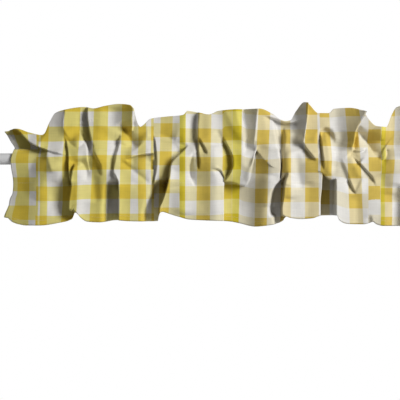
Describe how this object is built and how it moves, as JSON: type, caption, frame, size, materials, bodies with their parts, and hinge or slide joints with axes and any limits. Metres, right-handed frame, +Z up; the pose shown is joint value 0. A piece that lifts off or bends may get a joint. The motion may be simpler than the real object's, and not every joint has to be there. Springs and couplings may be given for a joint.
{
  "type": "window valance and rod",
  "caption": "Short gathered cotton valance with header, rod pocket and skirt, bunched in uneven folds on a plain round curtain rod.",
  "frame": {"origin": "centre of the flat end face of the rod on the left, as seen from the room", "axes": "+X along the rod to the right, the front of the cloth looks along -Y into the room, +Z up"},
  "size_m": [1.16, 0.087, 0.3097],
  "materials": {
    "checked_cotton": "plain-woven yellow and white gingham cotton, matt, light weight",
    "white_enamel": "smooth white baked enamel, semi-gloss"
  },
  "bodies": {
    "root": {"valance": "checked_cotton", "rod": "white_enamel"}
  },
  "joints": []
}
